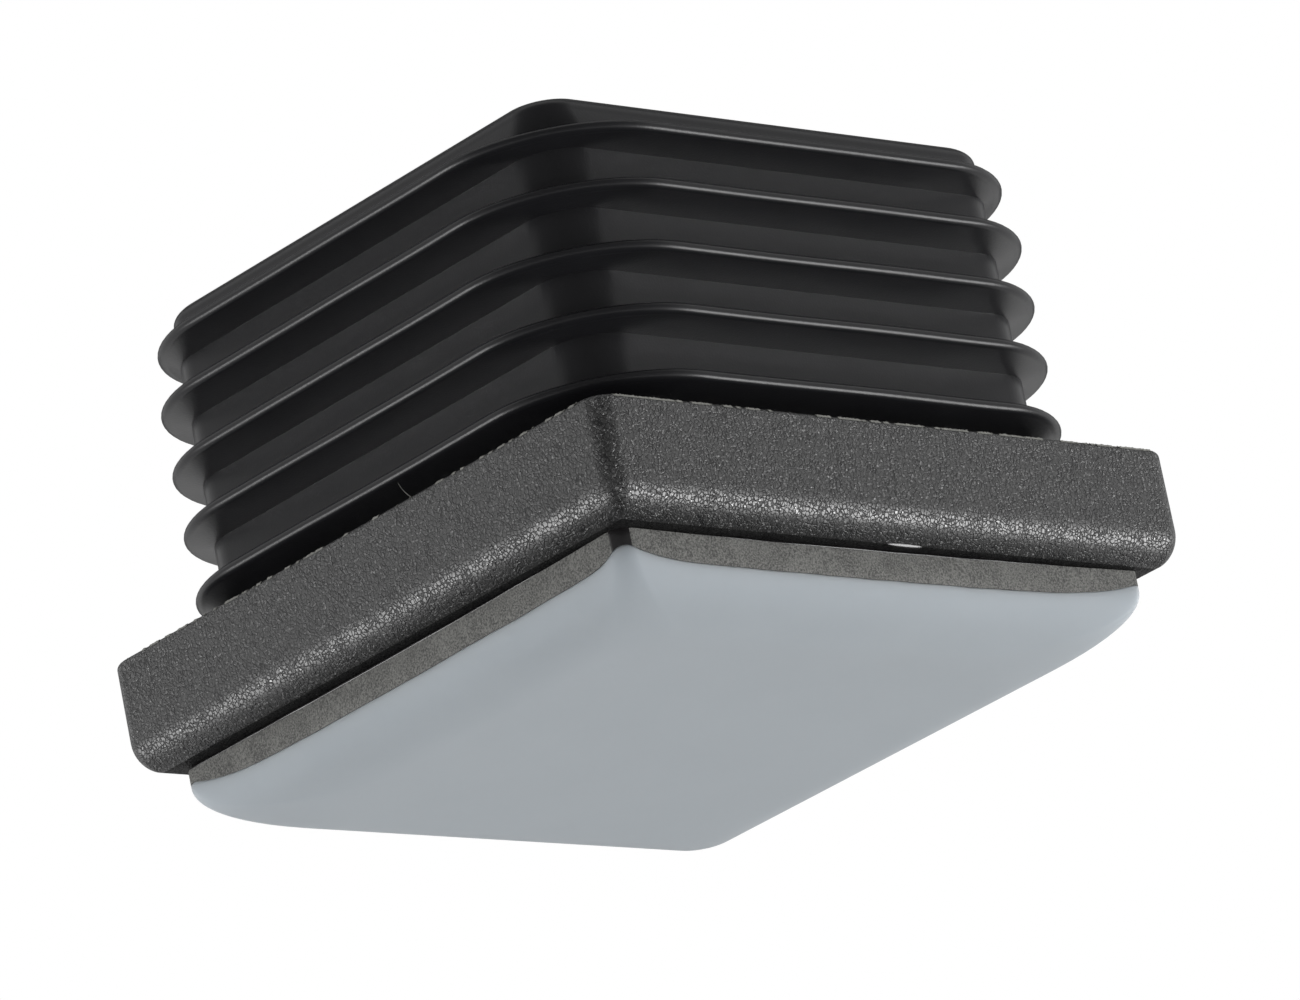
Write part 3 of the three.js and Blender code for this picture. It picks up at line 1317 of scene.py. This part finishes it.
@dataclass
class Studio:
    """Camera, soft lamps, paper cards, white room and a pale floor that can be seen only from above."""

    azimuth: float = -44.380
    elevation: float = -18.069
    roll: float = -11.425
    focal_pixels: float = 10523.0
    distance: float = 551.5
    aim: Vector = field(default_factory=lambda: Vector((0, 0, 15)))
    aim_right: float = 1.5675
    aim_up: float = -1.275
    sensor_width: float = 36.0
    room_level: float = 0.31
    floor_colour: str = "f2f2f0"
    floor_half: float = 1200.0
    floor_drop: float = 0.05
    cards: tuple[Card, ...] = (
        Card("card_under", 0.0, -90.0, 75.0, 170.0, 170.0, "101010"),
        Card("card_behind", 135.6, 35.0, 150.0, 240.0, 260.0, "808080"),
        Card("card_front", -40.0, 31.0, 150.0, 480.0, 440.0, "b0b0b0"),
    )
    lamps: tuple[Lamp, ...] = (
        Lamp("right_softbox", 45.0, -19.0, 450.0, 165.0, 200.0, 1.64),
        Lamp("left_softbox", -129.0, -19.0, 450.0, 108.0, 200.0, 1.12),
        Lamp("front_fill", -45.0, -30.0, 450.0, 400.0, 400.0, 0.78, mirrored=False),
        Lamp("overhead_softbox", 0.0, 88.0, 600.0, 300.0, 300.0, 1.3, mirrored=False),
    )

    @staticmethod
    def direction(azimuth: float, elevation: float) -> Vector:
        """Unit vector from the part to a place seen along an azimuth and elevation.

        Args:
            azimuth: Degrees; 0 is a camera that looks along +Y.
            elevation: Degrees above the horizon.

        Returns:
            The direction.
        """
        a, e = math.radians(azimuth), math.radians(elevation)
        return Vector((math.sin(a) * math.cos(e), -math.cos(a) * math.cos(e), math.sin(e)))

    def add_camera(self) -> None:
        """Places the camera at the photograph's angle."""
        back = self.direction(self.azimuth, self.elevation)
        level = Vector((math.cos(math.radians(self.azimuth)), math.sin(math.radians(self.azimuth)), 0))
        above = back.cross(level)
        turn = math.radians(self.roll)
        right = level * math.cos(turn) + above * math.sin(turn)
        up = above * math.cos(turn) - level * math.sin(turn)
        data = bpy.data.cameras.new("photograph_camera")
        data.sensor_width = self.sensor_width
        data.lens = self.sensor_width * self.focal_pixels / IMAGE_WIDTH
        camera = bpy.data.objects.new("photograph_camera", data)
        place = self.aim + back * self.distance + right * self.aim_right + up * self.aim_up
        axes = Matrix((right, up, back)).transposed().to_4x4()
        camera.matrix_world = Matrix.Translation(place * MM) @ axes
        bpy.context.scene.collection.objects.link(camera)
        bpy.context.scene.camera = camera

    def add_lamps(self) -> None:
        """Hangs the lamps, each turned to the part."""
        for lamp in self.lamps:
            data = bpy.data.lights.new(lamp.name, "AREA")
            data.shape = "RECTANGLE"
            data.size, data.size_y = lamp.width * MM, lamp.height * MM
            data.energy = lamp.power
            toward = self.direction(lamp.azimuth, lamp.elevation)
            light = bpy.data.objects.new(lamp.name, data)
            light.location = (self.aim + toward * lamp.distance) * MM
            light.rotation_mode = "QUATERNION"
            light.rotation_quaternion = toward.to_track_quat("Z", "Y")
            light.visible_camera = False
            light.visible_glossy = lamp.mirrored
            bpy.context.scene.collection.objects.link(light)

    def add_room(self) -> None:
        """Makes the room white to the eye and in reflections, and softer as a light."""
        world = bpy.data.worlds.new("white_room")
        add = partial(add_node, empty_tree(world))
        path = add("LightPath").outputs
        seen = path["Is Camera Ray"]
        for kind in ("Is Glossy Ray", "Is Transmission Ray"):
            seen = add("Math", {0: seen, 1: path[kind]}, operation="MAXIMUM")
        level = add("MapRange", {"Value": seen, "To Min": self.room_level, "To Max": 1.0})
        room = add("Background", {"Color": (1, 1, 1, 1), "Strength": level})
        add("OutputWorld", {"Surface": room})
        bpy.context.scene.world = world

    def add_floor(self) -> None:
        """Lays the pale floor: it takes the part's shadow, and is clear to all but an eye above it."""
        half, z = self.floor_half, -self.floor_drop
        corners = [Vector((x * half, y * half, z)) for x, y in SHEET_CORNERS]
        paper = bpy.data.materials.new("pale_paper_one_sided")
        add = partial(add_node, empty_tree(paper))
        eye = add("LightPath").outputs["Is Camera Ray"]
        back = add("NewGeometry").outputs["Backfacing"]
        shown = add("Math", {0: eye, 1: back}, operation="SUBTRACT", use_clamp=True)
        matt = add("BsdfDiffuse", {"Color": linear(self.floor_colour)})
        mix = add("MixShader", {0: shown, 1: add("BsdfTransparent"), 2: matt})
        add("OutputMaterial", {"Surface": mix})
        mesh_object("floor", corners, [(0, 1, 2, 3)], [paper], sharp=30)

    def add_cards(self) -> None:
        """Hangs the cards, which keep the underside, the near corner and the turned-away edges dark."""
        for card in self.cards:
            paper = bpy.data.materials.new(card.name)
            add = partial(add_node, empty_tree(paper))
            add("OutputMaterial", {"Surface": add("BsdfDiffuse", {"Color": linear(card.colour)})})
            toward = self.direction(card.azimuth, card.elevation)
            turn = toward.to_track_quat("Z", "Y")
            middle = self.aim + toward * card.distance
            corners = [
                middle + turn @ Vector((x * card.width / 2, y * card.height / 2, 0))
                for x, y in SHEET_CORNERS
            ]
            sheet = mesh_object(card.name, corners, [(0, 1, 2, 3)], [paper], sharp=30)
            sheet.visible_camera = sheet.visible_diffuse = False
            sheet.visible_shadow = sheet.visible_transmission = False

    def build(self) -> None:
        """Sets up the whole studio."""
        bpy.context.scene.view_settings.view_transform = "Standard"
        self.add_camera()
        self.add_room()
        self.add_lamps()
        self.add_floor()
        self.add_cards()
        LOG.info("studio: camera, %d lamps, %d cards, room and floor", len(self.lamps), len(self.cards))


def main() -> None:
    """Builds the studio and the glide's pieces in order."""
    logging.basicConfig(level=logging.INFO, format="%(name)s: %(message)s")
    Studio().build()
    plug = RibbedPlug.from_frame()
    plug.build(SatinPolyethylene(), SparkErodedPolyethylene(), ShadedUndersidePolyethylene())
    PartingFlash(plug).build(TornPolyethylene())
    pad = GlidePad.under(plug)
    pad.build_sole(FormedPtfe())
    pad.build_rubber(CutRubber())
    pad.build_film(AcrylicAdhesive())


if __name__ == "__main__":
    main()
